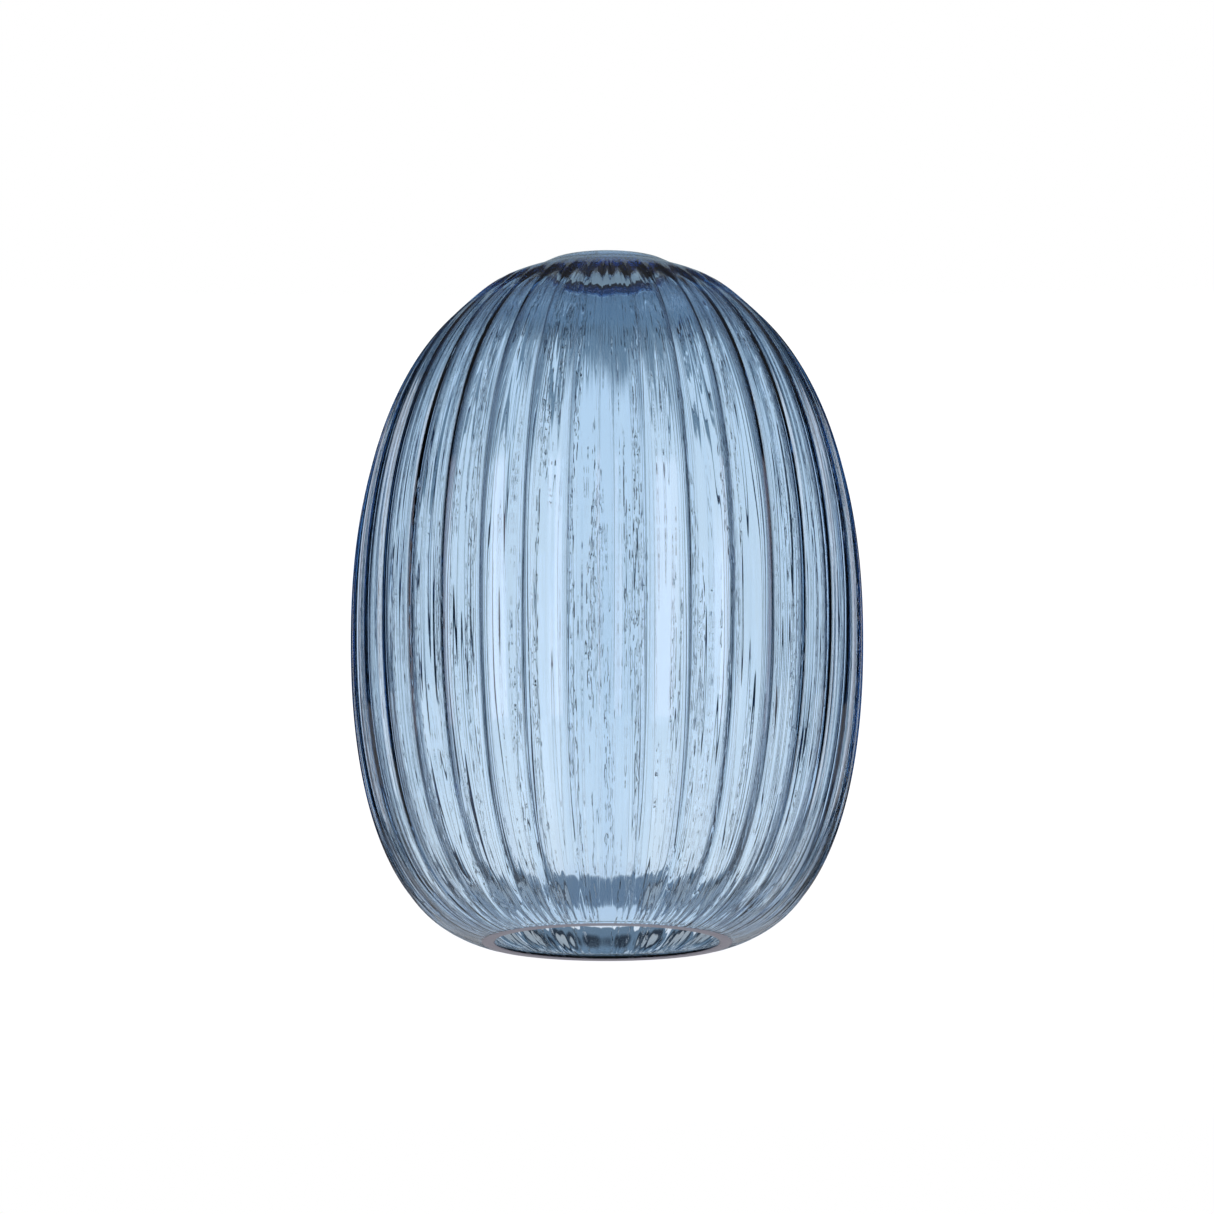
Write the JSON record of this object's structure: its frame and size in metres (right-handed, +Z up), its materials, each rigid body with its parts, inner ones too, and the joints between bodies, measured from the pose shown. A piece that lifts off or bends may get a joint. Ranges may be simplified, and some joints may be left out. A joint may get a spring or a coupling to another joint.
{
  "type": "glass lampshade",
  "caption": "Egg-shaped fluted glass pendant shade with an open ground rim below and a round fitter hole in its smooth crown.",
  "frame": {"origin": "centre of the ground rim's plane at the bottom of the shade", "axes": "+Z up along the shade's axis to the fitter hole, -Y towards the front mould seam, +X to the right seen from the front"},
  "size_m": [0.2, 0.2, 0.27],
  "materials": {
    "blue_glass": "clear blue-tinted moulded glass, fire-polished, with a satin ground rim"
  },
  "bodies": {
    "root": {"glass_shade": "blue_glass"}
  },
  "joints": []
}
